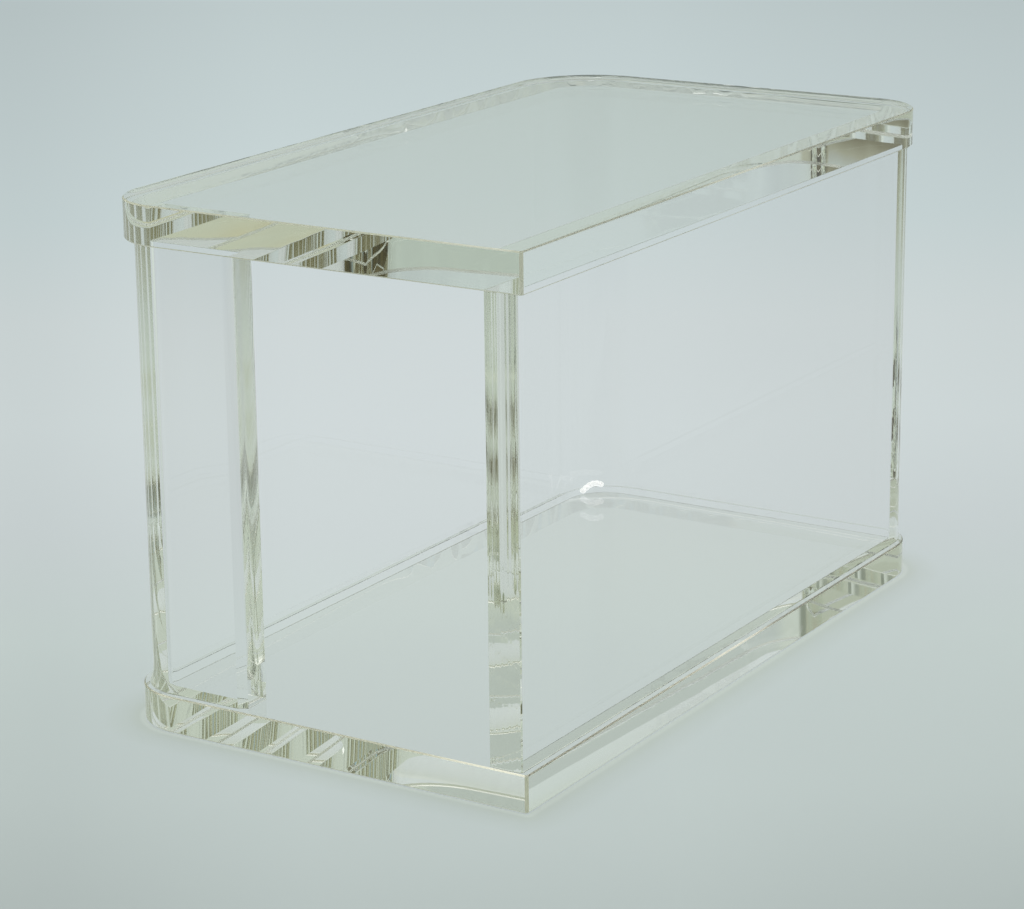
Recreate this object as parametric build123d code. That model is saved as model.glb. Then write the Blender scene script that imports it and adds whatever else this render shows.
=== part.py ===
from build123d import *
import os

# Clear acrylic case with an open front. Two thick plates lie above and below one sheet,
# which is bent three times to make the right, back and left walls and a short return
# on the front. Millimetres, +Z up, front towards -Y, origin under the middle of the base.

# Whole case
case_width = 100.0
case_depth = 181.0
case_height = 111.0

# Plates: the same outline, rounded at three corners and square at the front right
base_thickness = 7.9
top_thickness = 8.4
front_left_corner = 13.5
back_left_corner = 20.0
back_right_corner = 14.0
plate_arris = 0.45

# Wall sheet: how far its outer face stays in from the plates' edges, and its two ends
wall_thickness = 7.5
wall_margin = 1.6
wall_arris = 0.25
right_end_setback = 0.5
right_end_crown = 0.38
return_reach = 31.7
return_slope_width = 1.9
return_slope_depth = 1.1

# Bends: the sheet is thinner on the diagonal of the two tight ones, where it was stretched
front_left_outside = 13.0
front_left_inside = 1.5
back_left_outside = 17.0
back_left_inside = 9.5
back_right_outside = 11.0
back_right_inside = 1.0

# Where the plates' edges and the sheet's faces lie
left_edge = -case_width / 2
right_edge = case_width / 2
front_edge = -case_depth / 2
back_edge = case_depth / 2
wall_left = left_edge + wall_margin
wall_right = right_edge - wall_margin
wall_front = front_edge + wall_margin
wall_back = back_edge - wall_margin
wall_height = case_height - base_thickness - top_thickness
inner_left = wall_left + wall_thickness
inner_right = wall_right - wall_thickness
inner_front = wall_front + wall_thickness
inner_back = wall_back - wall_thickness
return_end = left_edge + return_reach
right_end_tip = front_edge + right_end_setback


def plate_outline():
    """Face of a plate, in the XY plane."""
    with BuildSketch() as outline:
        with BuildLine():
            FilletPolyline(
                (right_edge, front_edge),
                (left_edge, front_edge),
                (left_edge, back_edge),
                (right_edge, back_edge),
                radius=[0, front_left_corner, back_left_corner, back_right_corner],
                close=True,
            )
        make_face()
    return outline.sketch


def plate(underside, thickness):
    """A thick plate with the sharp edges of both rims and of the square corner taken off."""
    slab = extrude(plate_outline(), amount=thickness)
    faces = slab.faces().sort_by(Axis.Z)
    rims = faces[0].edges() + faces[-1].edges()
    corner_place = (right_edge, front_edge, thickness / 2)
    square_corner = slab.edges().filter_by(Axis.Z).sort_by_distance(corner_place)[0]
    return Pos(0, 0, underside) * chamfer(rims + [square_corner], plate_arris)


def bent_sheet_outline():
    """Section of the bent sheet: outer face, sloped end of the return, inner face, crowned end."""
    outer_corner = (wall_right, right_end_tip + right_end_crown)
    inner_corner = (inner_right, right_end_tip + right_end_crown)
    with BuildSketch() as outline:
        with BuildLine():
            FilletPolyline(
                outer_corner,
                (wall_right, wall_back),
                (wall_left, wall_back),
                (wall_left, wall_front),
                (return_end - return_slope_width, wall_front),
                (return_end, wall_front + return_slope_depth),
                (return_end, inner_front),
                (inner_left, inner_front),
                (inner_left, inner_back),
                (inner_right, inner_back),
                inner_corner,
                radius=[
                    back_right_outside,
                    back_left_outside,
                    front_left_outside,
                    0,
                    0,
                    0,
                    front_left_inside,
                    back_left_inside,
                    back_right_inside,
                ],
            )
            ThreePointArc(inner_corner, ((inner_right + wall_right) / 2, right_end_tip), outer_corner)
        make_face()
    return outline.sketch


def wall_sheet():
    """The sheet stands on the base plate and carries the top plate."""
    sheet = extrude(bent_sheet_outline(), amount=wall_height)
    uprights = sheet.edges().filter_by(Axis.Z)
    right_end = uprights.sort_by(Axis.Y)[:2]
    return_corner = uprights.sort_by_distance((return_end, inner_front, wall_height / 2))[0]
    return Pos(0, 0, base_thickness) * chamfer(right_end + [return_corner], wall_arris)


pieces = {
    "base_plate": plate(0, base_thickness),
    "wall_sheet": wall_sheet(),
    "top_plate": plate(case_height - top_thickness, top_thickness),
}

os.makedirs("parts", exist_ok=True)
for name, solid in pieces.items():
    export_step(solid, f"parts/{name}.step")
    size = solid.bounding_box().size
    print(f"{name}: {size.X:.1f} x {size.Y:.1f} x {size.Z:.1f} mm, {solid.volume / 1000:.1f} cm3")
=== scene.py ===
# %% [markdown]
# # Clear acrylic case with an open front
#
# The real case is three pieces of thick clear acrylic sheet: a base plate, one sheet bent three
# times into the walls, and a top plate. Solvent cement melts the pieces into each other, so light
# passes the joints as if the case were one block. This lesson models the three pieces as they are
# made, joins them as the cement does, and gives them the look of polished acrylic.

import bmesh
import bpy
import math
from mathutils import Matrix, Vector


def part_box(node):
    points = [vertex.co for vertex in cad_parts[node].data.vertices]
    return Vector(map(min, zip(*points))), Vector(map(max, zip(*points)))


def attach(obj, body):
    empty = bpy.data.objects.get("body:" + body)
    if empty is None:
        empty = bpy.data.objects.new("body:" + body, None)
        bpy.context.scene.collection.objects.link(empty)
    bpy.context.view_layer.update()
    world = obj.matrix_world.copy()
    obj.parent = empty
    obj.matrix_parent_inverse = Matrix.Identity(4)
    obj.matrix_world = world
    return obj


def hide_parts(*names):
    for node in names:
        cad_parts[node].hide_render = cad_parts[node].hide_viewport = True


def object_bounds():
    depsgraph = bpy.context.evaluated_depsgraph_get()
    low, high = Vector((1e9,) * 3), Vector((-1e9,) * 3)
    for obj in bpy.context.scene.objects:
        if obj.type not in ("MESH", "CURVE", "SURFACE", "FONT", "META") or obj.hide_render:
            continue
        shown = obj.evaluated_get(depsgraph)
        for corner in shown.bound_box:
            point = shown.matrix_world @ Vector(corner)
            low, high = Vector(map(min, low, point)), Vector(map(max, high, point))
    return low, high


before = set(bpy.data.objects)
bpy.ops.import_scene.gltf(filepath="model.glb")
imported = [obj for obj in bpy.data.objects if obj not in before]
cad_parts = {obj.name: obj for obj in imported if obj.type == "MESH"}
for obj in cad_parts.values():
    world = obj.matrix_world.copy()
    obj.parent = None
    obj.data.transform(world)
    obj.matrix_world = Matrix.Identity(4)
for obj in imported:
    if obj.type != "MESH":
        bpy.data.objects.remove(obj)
cad_low, cad_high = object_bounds()
MM = 0.001
SAME_PLACE = 0.01 * MM
base_low, base_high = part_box("base_plate")
wall_low, wall_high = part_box("wall_sheet")
top_low, top_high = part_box("top_plate")
print("case:", [round(size / MM, 1) for size in cad_high - cad_low], "mm")

# %% [markdown]
# ## Helpers for the meshes
#
# An operator works on whatever is selected, and the loaded model comes in selected. So each piece
# is picked alone first. In edit mode, verts, edges and faces are then picked by their place.

# %% Picking a piece, and picking its parts
def pick_piece(piece):
    """Makes piece the only selected object, and the active one."""
    bpy.ops.object.select_all(action="DESELECT")
    piece.select_set(True)
    bpy.context.view_layer.objects.active = piece


def pick_parts(piece, kind, wanted):
    """In edit mode, selects each VERT, EDGE or FACE for which wanted is true."""
    bpy.ops.mesh.select_mode(type=kind)
    bpy.ops.mesh.select_all(action="DESELECT")
    mesh = bmesh.from_edit_mesh(piece.data)
    parts = {"VERT": mesh.verts, "EDGE": mesh.edges, "FACE": mesh.faces}[kind]
    picked = [part for part in parts if wanted(part)]
    for part in picked:
        part.select_set(True)
    bmesh.update_edit_mesh(piece.data)
    return len(picked)


def is_upright(edge):
    """True for an edge that runs along Z."""
    run = edge.verts[1].co - edge.verts[0].co
    return abs(run.z) > 0.99 * run.length


def is_level(edge):
    """True for an edge whose two ends are equally high."""
    return abs(edge.verts[0].co.z - edge.verts[1].co.z) < SAME_PLACE


def stands_at(edge, x, y, reach=0.1 * MM):
    """True for an upright edge through the point x, y."""
    foot = edge.verts[0].co
    return is_upright(edge) and abs(foot.x - x) < reach and abs(foot.y - y) < reach


print("helpers ready")

# %% [markdown]
# ## The two plates
#
# Each plate is routed from sheet with three rounded corners and one sharp one. A cube at the
# plate's size gets its corners by bevelling single upright edges, each by its own radius. Then
# both rims get an arris, the tiny flat that a maker takes off so that the edge doesn't cut. It
# matters for the look: it is the thin bright line round every edge of clear acrylic.

# %% Base plate and top plate
CORNER_STEPS = 120
plate_arris = 0.3 * MM
corner_arris = 0.55 * MM
front_left_corner = 13.5 * MM
back_left_corner = 20.0 * MM
back_right_corner = 14.0 * MM
plate_corners = [
    (base_low.x, base_low.y, front_left_corner),
    (base_low.x, base_high.y, back_left_corner),
    (base_high.x, base_high.y, back_right_corner),
]


def routed_plate(name, low, high):
    """A plate between two opposite corners of its box."""
    bpy.ops.object.select_all(action="DESELECT")
    bpy.ops.mesh.primitive_cube_add(size=1, location=(low + high) / 2, scale=high - low)
    bpy.ops.object.transform_apply()
    plate = bpy.context.object
    plate.name = name
    bpy.ops.object.mode_set(mode="EDIT")
    for x, y, radius in plate_corners:
        pick_parts(plate, "EDGE", lambda edge: stands_at(edge, x, y))
        bpy.ops.mesh.bevel(offset=radius, segments=CORNER_STEPS, affect="EDGES")
    pick_parts(plate, "EDGE", lambda edge: stands_at(edge, base_high.x, base_low.y))
    bpy.ops.mesh.bevel(offset=corner_arris, segments=1, affect="EDGES")
    pick_parts(plate, "EDGE", is_level)
    bpy.ops.mesh.bevel(offset=plate_arris, segments=1, affect="EDGES")
    bpy.ops.object.mode_set(mode="OBJECT")
    return plate


base = routed_plate("acrylic_case", base_low, base_high)
top = routed_plate("top_slab", top_low, top_high)
print("plates:", len(base.data.polygons), "and", len(top.data.polygons), "faces")

# %% [markdown]
# ## The bent sheet
#
# The maker heats a straight sheet along three lines and folds it over a former. A thick sheet
# doesn't bend as paper does: at a tight bend its outside is stretched, so it gets thinner on the
# diagonal, and the inner corner stays nearly sharp. So the outer and the inner face have radii of
# their own. The mesh starts as a flat section, an upright box per wall seen from above: its
# corners are the ends and the bends. Bevelling single corners makes the bends, and extruding the
# section upwards makes the sheet. It runs a little way into both plates, so that the union later
# has no two faces in one plane.

# %% Section of the sheet
BEND_STEPS = 80
wall_thickness = 7.5 * MM
into_plates = 1.0 * MM
return_setback = 1.1 * MM
return_reach = 31.7 * MM
slope_width, slope_depth = 1.9 * MM, 1.1 * MM
crown = 0.38 * MM
front_left_outside, front_left_inside = 13.0 * MM, 1.5 * MM
back_left_outside, back_left_inside = 17.0 * MM, 9.5 * MM
back_right_outside, back_right_inside = 11.0 * MM, 1.0 * MM

wall_front = wall_low.y + return_setback
return_end = base_low.x + return_reach
outer_left, outer_right, outer_back = wall_low.x, wall_high.x, wall_high.y
inner_left, inner_right = outer_left + wall_thickness, outer_right - wall_thickness
inner_back, inner_front = outer_back - wall_thickness, wall_front + wall_thickness
right_end = wall_low.y + crown
section = [
    (outer_right, right_end, 0),
    (outer_right, outer_back, back_right_outside),
    (outer_left, outer_back, back_left_outside),
    (outer_left, wall_front, front_left_outside),
    (return_end - slope_width, wall_front, 0),
    (return_end, wall_front + slope_depth, 0),
    (return_end, inner_front, 0),
    (inner_left, inner_front, front_left_inside),
    (inner_left, inner_back, back_left_inside),
    (inner_right, inner_back, back_right_inside),
    (inner_right, right_end, 0),
]


def is_near(vert, x, y):
    """True for a vert at the point x, y, at any height."""
    return abs(vert.co.x - x) < SAME_PLACE and abs(vert.co.y - y) < SAME_PLACE


bpy.ops.object.select_all(action="DESELECT")
bpy.ops.mesh.primitive_circle_add(vertices=len(section), radius=MM, fill_type="NGON")
sheet = bpy.context.object
sheet.name = "bent_sheet"
sheet.location.z = wall_low.z - into_plates
bpy.ops.object.transform_apply()
for vert, (x, y, radius) in zip(sheet.data.vertices, section):
    vert.co.x, vert.co.y = x, y
bpy.ops.object.mode_set(mode="EDIT")
for x, y, radius in section:
    if radius:
        pick_parts(sheet, "VERT", lambda vert: is_near(vert, x, y))
        bpy.ops.mesh.bevel(offset=radius, segments=BEND_STEPS, affect="VERTICES")
bpy.ops.mesh.select_all(action="SELECT")
sheet_height = wall_high.z - wall_low.z + 2 * into_plates
bpy.ops.mesh.extrude_region_move(TRANSFORM_OT_translate={"value": (0, 0, sheet_height)})
bpy.ops.mesh.select_all(action="SELECT")
bpy.ops.mesh.normals_make_consistent(inside=False)
bpy.ops.object.mode_set(mode="OBJECT")
print("sheet:", len(sheet.data.polygons), "faces")

# %% [markdown]
# ## The foot of the front left bend
#
# At the two ends of a bend line the hot sheet curls outwards a little. The maker trims most of it
# away, but at the foot of the front left bend some is left: its outer line sweeps out just above
# the base plate. The sheet is cut into rows there, and the rows of the bend are pushed out, most at
# the foot and at the middle of the bend.

# %% Curl the foot
curl = 0.8 * MM
curl_height = 1.6 * MM
curl_fall = 1.3
row_heights = [share * curl_height for share in (0.12, 0.3, 0.55, 0.85, 1.25, 1.8, 2.6)]
bend_axis = Vector((outer_left + front_left_outside, wall_front + front_left_outside, 0))
outer_face = front_left_outside - 0.5 * MM

bpy.ops.object.mode_set(mode="EDIT")
for row in row_heights:
    bpy.ops.mesh.select_all(action="SELECT")
    bpy.ops.mesh.bisect(plane_co=(0, 0, wall_low.z + row), plane_no=(0, 0, 1))
bpy.ops.object.mode_set(mode="OBJECT")
for vert in sheet.data.vertices:
    arm = Vector((vert.co.x, vert.co.y, 0)) - bend_axis
    if max(arm.x, arm.y) > 0 or arm.length < outer_face:
        continue
    toward_middle = 2 * abs(arm.x * arm.y) / arm.length_squared
    above_foot = max(0.0, vert.co.z - wall_low.z)
    fade = math.exp(-((above_foot / curl_height) ** curl_fall))
    vert.co += arm.normalized() * curl * toward_middle * fade
print("rows:", len(row_heights))

# %% [markdown]
# ## The ends of the sheet
#
# Both ends get a fine arris. The maker also passes a flame along the right wall's front end. The
# skin melts, and it sets a little crowned, with fine waves that run along it. Lit from behind,
# they are the bright and dark streaks in that end. The end face is cut into narrow strips, and
# each strip is moved by the crown and its wave.

# %% Arrises, crown and waves
CROWN_STEPS = 30
wall_arris = 0.25 * MM
ripple_depth = 0.012 * MM
ripples = [(17, 1.0), (31, 2.2)]
end_low = inner_right + wall_arris
end_high = outer_right - wall_arris


def on_right_end(face):
    """True for the faces of the right wall's front end."""
    return face.normal.y < -0.99 and face.calc_center_median().x > inner_right


bpy.ops.object.mode_set(mode="EDIT")
for x, y in ((outer_right, right_end), (inner_right, right_end), (return_end, inner_front)):
    pick_parts(sheet, "EDGE", lambda edge: stands_at(edge, x, y))
    bpy.ops.mesh.bevel(offset=wall_arris, segments=1, affect="EDGES")
for step in range(1, CROWN_STEPS):
    pick_parts(sheet, "FACE", on_right_end)
    cut = end_low + (end_high - end_low) * step / CROWN_STEPS
    bpy.ops.mesh.bisect(plane_co=(cut, 0, 0), plane_no=(1, 0, 0))
bpy.ops.object.mode_set(mode="OBJECT")
end_middle = (end_low + end_high) / 2
for vert in sheet.data.vertices:
    if vert.co.x < inner_right - SAME_PLACE or vert.co.y > right_end + 0.1 * MM:
        continue
    share = (vert.co.x - end_middle) / (wall_thickness / 2)
    wave = sum(math.sin(share * pace + start) * 0.5 for pace, start in ripples)
    vert.co.y += crown * (share**2 - 1) + ripple_depth * (1 + wave)
print("strips:", CROWN_STEPS)

# %% [markdown]
# ## Cement the three pieces into one block
#
# With a film of air in the joint, the plate's edge would mirror the room instead of showing the
# wall below it. So the pieces are joined by a boolean union, which removes the faces inside the
# joint. The cement also fills the inner corner of each joint with a hair-thin fillet: a bevel of
# the concave edges makes it.

# %% Union and cement fillet
def cement_on(case, piece):
    """Melts piece into case and removes what is left of it."""
    pick_piece(case)
    joint = case.modifiers.new("cement", "BOOLEAN")
    joint.operation = "UNION"
    joint.solver = "EXACT"
    joint.object = piece
    bpy.ops.object.modifier_apply(modifier=joint.name)
    bpy.data.objects.remove(piece)


def in_joint(edge):
    """True for an edge in the inner corner between a plate and the wall."""
    middle = (edge.verts[0].co.z + edge.verts[1].co.z) / 2
    at_plate = any(abs(middle - level) < SAME_PLACE for level in (base_high.z, top_low.z))
    inward = edge.is_manifold and not edge.is_convex
    return at_plate and is_level(edge) and inward and edge.calc_face_angle(0) > corner_angle


cement_fillet = 0.15 * MM
corner_angle = math.radians(20)
smooth_angle = math.radians(30)
case = base
cement_on(case, sheet)
cement_on(case, top)
pick_piece(case)
bpy.ops.object.mode_set(mode="EDIT")
joint_edges = pick_parts(case, "EDGE", in_joint)
bpy.ops.mesh.bevel(offset=cement_fillet, segments=2, affect="EDGES", clamp_overlap=True)
bpy.ops.object.mode_set(mode="OBJECT")
bpy.ops.object.shade_smooth_by_angle(angle=smooth_angle)
print("case:", len(case.data.polygons), "faces,", joint_edges, "joint edges")

# %% [markdown]
# ## Flat faces that stay flat
#
# Smooth shading bends the light near each bend, also on the flat face beside it, and clear
# acrylic shows that at once. Weighted normals give each corner the direction of its largest face,
# so the flats stay flat and only the bends are smooth.

# %% Weighted normals
weighted = case.modifiers.new("flat faces", "WEIGHTED_NORMAL")
weighted.mode = "FACE_AREA"
weighted.keep_sharp = True
bpy.ops.object.modifier_apply(modifier=weighted.name)
print("normals weighted")

# %% [markdown]
# ## Mark the scraped and the flamed faces
#
# The maker scrapes the arrises and leaves them matt, while all faces are polished. The plates'
# sides and the sheet's ends are polished with a flame, which leaves them faintly wavy. The
# material reads both from numbers on the faces: satin is 1 on an arris, wavy on a flamed face.

# %% Marks for the material
def in_plates(face):
    """True for a face at the height of either plate."""
    return face.center.z < base_high.z or face.center.z > top_low.z


def is_arris(face):
    """True for the narrow slanted faces round the plates and down the square corner."""
    place, facing = face.center, face.normal
    if not in_plates(face):
        return False
    if 0.6 < abs(facing.z) < 0.8:
        return True
    slanted = abs(facing.z) < 0.1 and 0.6 < abs(facing.x) < 0.8
    return slanted and place.x > base_high.x - 2 * MM and place.y < base_low.y + 2 * MM


def is_plate_side(face):
    """True for the upright faces round both plates."""
    return in_plates(face) and abs(face.normal.z) < 0.1 and not is_arris(face)


def is_sheet_end(face):
    """True for the two upright cut ends of the sheet."""
    place, facing = face.center, face.normal
    between = base_high.z < place.z < top_low.z
    at_right = facing.y < -0.8 and place.x > inner_right
    at_return = facing.x > 0.8 and abs(place.x - return_end) < 0.3 * MM and place.y < inner_front
    return between and (at_right or at_return)


def is_flamed(face):
    """True for the faces that are polished with a flame."""
    return is_plate_side(face) or is_sheet_end(face)


def mark_faces(name, wanted):
    """Gives each wanted face the number 1 under name, and the others 0."""
    marks = case.data.attributes.new(name, "FLOAT", "FACE")
    count = 0
    for face in case.data.polygons:
        if wanted(face):
            marks.data[face.index].value = 1
            count += 1
    return count


print("scraped faces:", mark_faces("satin", is_arris))
print("flamed faces:", mark_faces("wavy", is_flamed))

# %% [markdown]
# ## Helpers for the materials
#
# A material is a tree of nodes. wire adds a node with its links in one line, and calc adds one
# step of arithmetic. light turns a screen colour into an amount of light, and ramp turns a number
# into a colour.

# %% Node helpers
def new_material(name):
    """A new material, with its tree of nodes and its surface."""
    material = bpy.data.materials.new(name)
    material.use_nodes = True
    return material, material.node_tree, material.node_tree.nodes["Principled BSDF"]


def wire(tree, kind, *inputs, **settings):
    """Adds a node. The inputs are links or plain values, in the order of its sockets."""
    node = tree.nodes.new("ShaderNode" + kind)
    for setting, value in settings.items():
        setattr(node, setting, value)
    for socket, value in zip(node.inputs, inputs):
        if isinstance(value, bpy.types.NodeSocket):
            tree.links.new(value, socket)
        elif value is not None:
            socket.default_value = value
    return node


def calc(tree, operation, *values):
    """The result of one step of arithmetic on links or plain values."""
    return wire(tree, "Math", *values, operation=operation).outputs[0]


def light(red, green, blue):
    """The light that a screen colour from 0 to 255 stands for."""
    shares = [level / 255 for level in (red, green, blue)]
    return [share / 12.92 if share < 0.04045 else ((share + 0.055) / 1.055) ** 2.4 for share in shares]


def ramp(tree, along, stops):
    """A colour ramp over along, from pairs of place and colour."""
    node = wire(tree, "ValToRGB", along)
    points = node.color_ramp.elements
    while len(points) < len(stops):
        points.new(1)
    for point, (place, colour) in zip(points, stops):
        point.position = place
        point.color = (*colour, 1)
    return node.outputs["Color"]


print("node helpers ready")

# %% [markdown]
# ## Cast acrylic
#
# Acrylic bends light a little less than window glass, with an index of 1.49. Through a face it is
# colourless, but a look into an edge goes through centimetres of it, and there it has a faint
# warm tint. That tint belongs in the volume, where it grows with the light's path.

# %% Material of the case
refraction = 1.49
depth_tint = (0.97, 0.978, 0.93)
depth_density = 8
satin_tint = (0.88, 0.82, 0.66)
satin_roughness = 0.35
half_plate = 4 * MM
bow_limit = 4.2 * MM
bow_height = 0.03
wave_height = 0.06
waves_per_metre = (60, 60, 45)


def polished_edge(tree):
    """A bump for the flamed faces: a little crowned across, with faint waves."""
    place = wire(tree, "TexCoord").outputs["Object"]
    rise = wire(tree, "SeparateXYZ", place).outputs["Z"]
    gaps = []
    for low, high in ((base_low.z, base_high.z), (top_low.z, top_high.z)):
        gaps.append(calc(tree, "ABSOLUTE", calc(tree, "SUBTRACT", rise, (low + high) / 2)))
    inside = calc(tree, "MINIMUM", calc(tree, "MINIMUM", *gaps), bow_limit)
    bow = calc(tree, "POWER", calc(tree, "MULTIPLY", inside, 1 / half_plate), 2)
    spread = wire(tree, "Mapping", place, None, None, waves_per_metre).outputs["Vector"]
    waves = wire(tree, "TexNoise", spread, None, 1.0, 1.0).outputs["Fac"]
    crowned = calc(tree, "MULTIPLY", bow, -bow_height)
    height = calc(tree, "MULTIPLY_ADD", waves, wave_height, crowned)
    wavy = wire(tree, "Attribute", attribute_name="wavy").outputs["Fac"]
    bump = wire(tree, "Bump")
    bump.inputs["Distance"].default_value = MM
    tree.links.new(wavy, bump.inputs["Strength"])
    tree.links.new(height, bump.inputs["Height"])
    return bump.outputs["Normal"]


def clear_acrylic():
    """Polished clear acrylic, matt where it is scraped, with a faint tint in its depth."""
    material, tree, surface = new_material("clear_acrylic")
    surface.inputs["Transmission Weight"].default_value = 1
    surface.inputs["IOR"].default_value = refraction
    satin = wire(tree, "Attribute", attribute_name="satin").outputs["Fac"]
    tree.links.new(calc(tree, "MULTIPLY", satin, satin_roughness), surface.inputs["Roughness"])
    tree.links.new(ramp(tree, satin, [(0, (1, 1, 1)), (1, satin_tint)]), surface.inputs["Base Color"])
    tree.links.new(polished_edge(tree), surface.inputs["Normal"])
    depth = wire(tree, "VolumeAbsorption", (*depth_tint, 1), depth_density)
    tree.links.new(depth.outputs["Volume"], tree.nodes["Material Output"].inputs["Volume"])
    return material


acrylic = clear_acrylic()
case.data.materials.clear()
case.data.materials.append(acrylic)
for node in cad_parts.values():
    node.data.materials.clear()
    node.data.materials.append(acrylic)
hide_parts("base_plate", "wall_sheet", "top_plate")
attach(case, "root")
print("material on", len(case.data.polygons), "faces")

# %% [markdown]
# ## Cement bead, with a painted glint
#
# Where the sheet is bent, it doesn't lie quite flat on the base, and the cement fills the gap. At
# the inner foot of the back left bend a bead of it sits. Its milky white and its own glow are a
# painted glint: the bead lights itself, though it is no lamp. It is a row of small flattened
# spheres that run into each other, along the bend. Each has its angle round the bend, and its
# height above the base.

# %% Bead at the foot of the back left bend
bead_radius = 0.8 * MM
bead_flatness = 0.9
bead_arm = back_left_inside - 0.4 * MM
bead_places = [(157, 1.1), (151, 1.7), (145, 2.2), (139, 2.5), (133, 2.5), (127, 2.2)]
specks_per_metre = 1500.0

bead_glint_paint, bead_tree, bead_surface = new_material("set_cement_painted_glint")
bead_place = wire(bead_tree, "TexCoord").outputs["Object"]
specks = wire(bead_tree, "TexNoise", bead_place, None, specks_per_metre, 2.0).outputs["Fac"]
glint_white = ramp(bead_tree, specks, [(0.3, (0.85, 0.87, 0.87)), (0.6, (0.98, 0.98, 0.98))])
bead_tree.links.new(glint_white, bead_surface.inputs["Base Color"])
bead_surface.inputs["Roughness"].default_value = 0.25
# The bead's glow is a painted glint: it gives off light of its own, though it is no lamp.
bead_surface.inputs["Emission Strength"].default_value = 0.7
bead_tree.links.new(glint_white, bead_surface.inputs["Emission Color"])

bend_middle = Vector((inner_left + back_left_inside, inner_back - back_left_inside, base_high.z))
beads = []
for angle, lift in bead_places:
    outward = Vector((math.cos(math.radians(angle)), math.sin(math.radians(angle)), 0))
    spot = bend_middle + outward * bead_arm + Vector((0, 0, lift * MM))
    bpy.ops.mesh.primitive_ico_sphere_add(subdivisions=3, radius=bead_radius, location=spot)
    bpy.context.object.scale = (1, 1, bead_flatness)
    bpy.ops.object.transform_apply()
    beads.append(bpy.context.object)
bead = beads[0]
bead.name = "cement_bead_painted_glint"
for other in beads[1:]:
    cement_on(bead, other)
pick_piece(bead)
bpy.ops.object.shade_smooth()
bead.data.materials.clear()
bead.data.materials.append(bead_glint_paint)
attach(bead, "root")
print("bead:", len(bead.data.polygons), "faces")

# %% [markdown]
# ## Floor
#
# The case stands on a pale floor. Its colour is painted light and shade: lighter round the case, a
# painted pool of light, and darker with the distance from the camera and towards both sides. Right
# at the base's foot it has a thin paler line, painted light from the acrylic, and just outside it a
# thin darker line, a painted contact shadow where the two touch. Clear acrylic takes a little light
# away from the floor under it, so light that comes through or off it sees the floor glow at its
# painted colour, 4.5 % darker and without the case's shadow. To the eye the floor glows 72 %, so
# only the rest of it takes the case's shadow.
#
# The part of the floor in front of the camera's feet is dark. It shows only where the case mirrors
# it, so that the floor is pale from every side.

# %% Floor
floor_size = 6.0
floor_gap = 0.1 * MM
painted_contact_width = 10 * MM
camera_side = 31.93
camera_distance = 0.705
tilt = 0.96
least_reach = 0.45
near_end, far_end = -0.5, 1.5
pale_from = 0.17
eye_glow = 0.72
acrylic_dimming = 0.045
painted_pool_colour = (0.677, 0.741, 0.751)
far_colour = (0.66, 0.755, 0.77)
near_colour = (0.665, 0.75, 0.735)


def dimmed(colour, share):
    """A darker version of a colour."""
    return tuple(level * share for level in colour)


# Painted light along the view: a pool of light round the case, darker nearer and further off. Stops
# below pale_from show only in mirrored light.
painted_floor_light_stops = [
    (0.07, (0.11, 0.095, 0.05)),
    (0.11, (0.20, 0.19, 0.11)),
    (0.14, (0.36, 0.37, 0.27)),
    (0.165, dimmed(near_colour, 0.70)),
    (0.18, dimmed(near_colour, 0.765)),
    (0.205, dimmed(near_colour, 0.865)),
    (0.25, dimmed(near_colour, 0.95)),
    (0.29, dimmed(painted_pool_colour, 0.96)),
    (0.34, dimmed(painted_pool_colour, 1.0)),
    (0.40, dimmed(painted_pool_colour, 0.985)),
    (0.48, dimmed(far_colour, 0.92)),
    (0.58, dimmed(far_colour, 0.87)),
    (0.75, dimmed(far_colour, 0.81)),
]
# Painted light across the view: lightest in the middle, darker towards both sides.
painted_side_light_stops = [
    (0.06, (0.94, 0.95, 0.94)),
    (0.18, (1.04, 1.06, 0.96)),
    (0.33, (0.92, 0.92, 0.88)),
    (0.42, (0.89,) * 3),
    (0.44, (0.95,) * 3),
    (0.46, (1, 1, 1)),
    (0.52, (1, 1, 1)),
    (0.542, (0.955,) * 3),
    (0.575, (0.915,) * 3),
    (0.65, (0.88,) * 3),
    (0.80, (0.86,) * 3),
]
# Round the base's foot: a thin paler line, painted light that the acrylic throws onto the floor, then
# a thin darker line just outside it, a painted contact shadow, fading out.
painted_contact_stops = [
    (0.0, (1, 1, 1)),
    (0.01, (1.02, 1.01, 0.96)),
    (0.08, (1.02, 1.01, 0.96)),
    (0.16, (0.93, 0.93, 0.88)),
    (0.4, (0.96, 0.96, 0.94)),
    (0.9, (1, 1, 1)),
]


def was_mirrored(tree):
    """1 for light that was mirrored or scattered on its way, 0 for what is seen straight."""
    ray = wire(tree, "LightPath")
    times = calc(tree, "ADD", ray.outputs["Glossy Depth"], ray.outputs["Diffuse Depth"])
    return calc(tree, "GREATER_THAN", times, 0.5)


def times_colour(tree, colour, other):
    """One colour times another."""
    return wire(tree, "VectorMath", colour, other, operation="MULTIPLY").outputs["Vector"]


def painted_light_by_distance(tree, place):
    """The floor's colour by how far away and how far aside a place is, seen from the camera: painted
    light, lighter round the case.
    """
    turned = wire(tree, "Mapping", place, None, (0, 0, math.radians(-90 - camera_side)))
    run = wire(tree, "SeparateXYZ", turned.outputs["Vector"])
    away = wire(tree, "MapRange", run.outputs["X"], near_end, far_end, 0, 1).outputs["Result"]
    nearest = calc(tree, "MULTIPLY_ADD", was_mirrored(tree), -pale_from, pale_from)
    away = calc(tree, "MAXIMUM", away, nearest)
    reach = calc(tree, "MULTIPLY_ADD", run.outputs["X"], tilt, camera_distance)
    slant = calc(tree, "DIVIDE", run.outputs["Y"], calc(tree, "MAXIMUM", reach, least_reach))
    aside = wire(tree, "MapRange", slant, 1, -1, 0, 1).outputs["Result"]
    return times_colour(tree, ramp(tree, away, painted_floor_light_stops), ramp(tree, aside, painted_side_light_stops))


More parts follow.
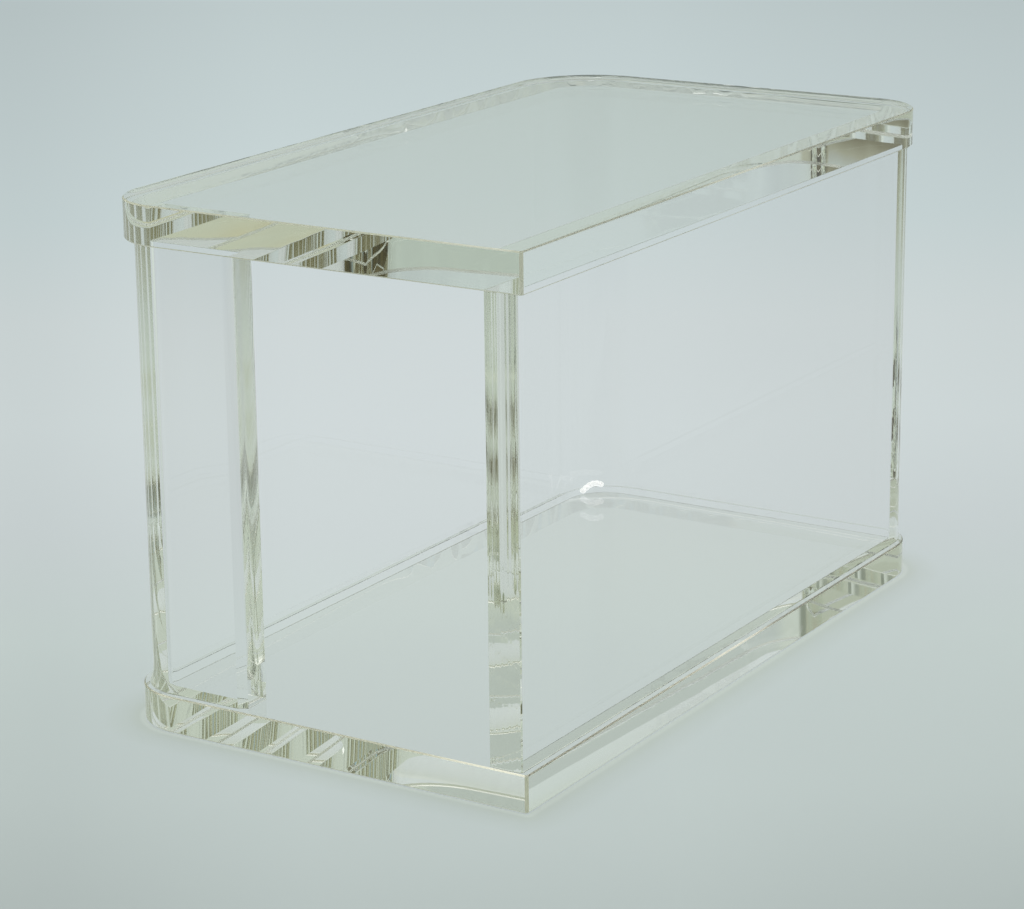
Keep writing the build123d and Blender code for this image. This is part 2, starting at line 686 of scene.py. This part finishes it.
def beyond_base(tree, place):
    """How far a place lies outside the base plate's outline, in metres."""
    half_width, half_depth = (base_high.x - base_low.x) / 2, (base_high.y - base_low.y) / 2
    spot = wire(tree, "SeparateXYZ", place)
    at_left = calc(tree, "LESS_THAN", spot.outputs["X"], 0.0)
    at_back = calc(tree, "GREATER_THAN", spot.outputs["Y"], 0.0)
    corner = calc(tree, "MULTIPLY", calc(tree, "MAXIMUM", at_left, at_back), front_left_corner)
    sides = []
    for axis, half in (("X", half_width), ("Y", half_depth)):
        out = calc(tree, "SUBTRACT", calc(tree, "ABSOLUTE", spot.outputs[axis]), half)
        sides.append(calc(tree, "MAXIMUM", calc(tree, "ADD", out, corner), 0.0))
    arm = wire(tree, "CombineXYZ", *sides).outputs[0]
    arm_length = wire(tree, "VectorMath", arm, operation="LENGTH").outputs["Value"]
    return calc(tree, "SUBTRACT", arm_length, corner)


bpy.ops.object.select_all(action="DESELECT")
bpy.ops.mesh.primitive_plane_add(size=floor_size, location=(0, 0, cad_low.z - floor_gap))
floor = bpy.context.object
floor.name = "floor"
paint, tree, painted = new_material("floor_paint")
place = wire(tree, "TexCoord").outputs["Object"]
# The painted contact light and shadow, by the distance from the base's outline.
painted_contact_share = wire(tree, "MapRange", beyond_base(tree, place), 0.0, painted_contact_width, 0, 1).outputs["Result"]
painted_floor_colour = times_colour(tree, painted_light_by_distance(tree, place), ramp(tree, painted_contact_share, painted_contact_stops))
tree.links.new(painted_floor_colour, painted.inputs["Base Color"])
painted.inputs["Roughness"].default_value = 0.9
painted.inputs["Specular IOR Level"].default_value = 0
# The floor glows at its painted colour, as painted light: fully, 4.5 % darker, for light through or
# off the acrylic, and by eye_glow to the eye.
ray = wire(tree, "LightPath")
in_acrylic = calc(tree, "MAXIMUM", ray.outputs["Is Transmission Ray"], ray.outputs["Is Glossy Ray"])
glow = wire(tree, "Emission", painted_floor_colour, calc(tree, "MULTIPLY_ADD", in_acrylic, -acrylic_dimming, 1.0))
to_eye = calc(tree, "MULTIPLY", ray.outputs["Is Camera Ray"], eye_glow)
glow_share = calc(tree, "MAXIMUM", to_eye, in_acrylic)
shown = wire(tree, "MixShader", glow_share, painted.outputs["BSDF"], glow.outputs["Emission"])
tree.links.new(shown.outputs["Shader"], tree.nodes["Material Output"].inputs["Surface"])
floor.data.materials.append(paint)
print("floor at", round(floor.location.z / MM, 2), "mm")

# %% [markdown]
# ## The room
#
# Clear acrylic has no colour of its own, so its edges show the room: pale in most directions, and
# warmer and darker on one side. The world is a soft room, built from a pale gradient and a few
# soft panels. A panel is a part of the walls, given by the way it faces, clockwise from the back
# of the case, and by how high it is seen. The panels behind the camera show only where the case
# mirrors them, like the near part of the floor.

# %% Room light
world = bpy.data.worlds.new("room")
bpy.context.scene.world = world
world.use_nodes = True
room = world.node_tree
way = wire(room, "TexCoord").outputs["Generated"]
rise = wire(room, "SeparateXYZ", way).outputs["Z"]
flat_way = wire(room, "VectorMath", way, (1, 1, 0), operation="MULTIPLY").outputs["Vector"]
turn = wire(room, "VectorMath", flat_way, operation="NORMALIZE").outputs["Vector"]


def sine(degrees):
    """The sine of an angle in degrees."""
    return math.sin(math.radians(degrees))


def cosine(degrees):
    """The cosine of an angle in degrees."""
    return math.cos(math.radians(degrees))


def soft_step(value, start, end):
    """Rises softly from 0 to 1 while value goes from start to end."""
    step = wire(room, "MapRange", value, start, end, 0, 1, interpolation_type="SMOOTHSTEP")
    return step.outputs["Result"]


def panel(below, faces, half_width, low, high, colour, blur, shown):
    """Lays a soft panel over the colour below it, for the light that shown lets see it."""
    facing = (sine(faces), cosine(faces), 0)
    near = wire(room, "VectorMath", turn, facing, operation="DOT_PRODUCT").outputs["Value"]
    across = soft_step(near, cosine(half_width + blur), cosine(max(half_width - blur, 0)))
    over = soft_step(rise, sine(low - rim_blur), sine(low + rim_blur))
    under = soft_step(rise, sine(high + rim_blur), sine(high - rim_blur))
    cover = calc(room, "MULTIPLY", across, calc(room, "MULTIPLY", over, under))
    mixed = wire(room, "Mix", data_type="RGBA")
    room.links.new(calc(room, "MULTIPLY", cover, shown), mixed.inputs["Factor"])
    room.links.new(below, mixed.inputs[6])
    if isinstance(colour, bpy.types.NodeSocket):
        room.links.new(colour, mixed.inputs[7])
    else:
        mixed.inputs[7].default_value = (*colour, 1)
    return mixed.outputs[2]


rim_blur = 1.2
clutter_size = (7, 7, 6)
scattered = wire(room, "Mapping", way, None, None, clutter_size).outputs["Vector"]
clutter = wire(room, "TexNoise", scattered, None, 1.0, 2.0).outputs["Fac"]
dark_side = ramp(room, clutter, [(0.36, light(106, 106, 86)), (0.62, light(128, 128, 106))])
dark_core = ramp(room, clutter, [(0.36, light(52, 49, 36)), (0.62, light(80, 74, 50))])
mirrored = was_mirrored(room)

# Each panel: the way it faces, half its width, its lower and upper rim, its colour, the blur of
# its sides, and what light sees it. All angles are in degrees.
panels = [
    (-18, 34, -10, 14.2, light(183, 196, 189), 5, 1),
    (-36, 22, 19, 30, light(180, 190, 186), 5, 1),
    (-60, 12, 13.5, 17, light(213, 221, 214), 5, 1),
    (0, 12, 14.6, 20, light(211, 221, 213), 5, 1),
    (38, 9, 3, 13.5, light(190, 197, 180), 5, 1),
    (37, 3, 13, 16, light(192, 192, 164), 2, 1),
    (-88, 17, -10, 18, light(166, 170, 150), 3, 1),
    (180, 16, -10, 40, light(184, 190, 168), 8, mirrored),
    (-148, 24, -10, 38, light(176, 185, 167), 8, mirrored),
    (-98, 22, 18, 34, light(118, 127, 110), 4, 1),
    (148, 32, -10, 36, light(166, 156, 118), 12, mirrored),
    (136, 30, -10, 33, dark_side, 14, mirrored),
    (112, 4, 8, 34, light(150, 176, 186), 3, mirrored),
    (134, 24, -10, 17, dark_core, 8, mirrored),
]
sky_stops = [
    (0.0, light(188, 198, 190)),
    (sine(14), light(188, 198, 188)),
    (sine(30), light(198, 208, 198)),
    (sine(50), (1.24, 1.26, 1.25)),
]
room_colour = ramp(room, rise, sky_stops)
for settings in panels:
    room_colour = panel(room_colour, *settings)
room.links.new(room_colour, room.nodes["Background"].inputs["Color"])
print("room lit by", len(panels), "panels")

# %% [markdown]
# ## Camera
#
# The camera stands to the front right and a little above, far off with a long lens, so that
# parallel edges stay nearly parallel.

# %% Camera
azimuth = math.radians(camera_side)
elevation = math.radians(16.16)
roll = math.radians(-0.65)
aim = Vector((19.0 * MM, -44.9 * MM, 56.4 * MM))
distance = 642.8 * MM
sensor_width = 36
lens = 110.33

right = Vector((math.cos(azimuth), math.sin(azimuth), 0))
level_back = Vector((math.sin(azimuth), -math.cos(azimuth), 0))
back = level_back * math.cos(elevation) + Vector((0, 0, math.sin(elevation)))
up = back.cross(right)
camera_data = bpy.data.cameras.new("camera")
camera_data.sensor_width = sensor_width
camera_data.lens = lens
camera = bpy.data.objects.new("camera", camera_data)
bpy.context.scene.collection.objects.link(camera)
rolled_right = right * math.cos(roll) + up * math.sin(roll)
rolled_up = up * math.cos(roll) - right * math.sin(roll)
axes = Matrix((rolled_right, rolled_up, back)).transposed()
camera.matrix_world = Matrix.Translation(aim + back * distance) @ axes.to_4x4()
bpy.context.scene.camera = camera
print("camera at", [round(along / MM) for along in camera.matrix_world.translation], "mm")

# %% [markdown]
# ## Render settings
#
# Light runs along inside the plates and the wall and is mirrored many times before it comes out,
# so the number of bounces goes up. With too few, the edges turn black.

# %% Bounces and colour
bounces = 32
scene = bpy.context.scene
scene.view_settings.view_transform = "Standard"
scene.cycles.max_bounces = bounces
scene.cycles.transmission_bounces = bounces
scene.cycles.glossy_bounces = bounces
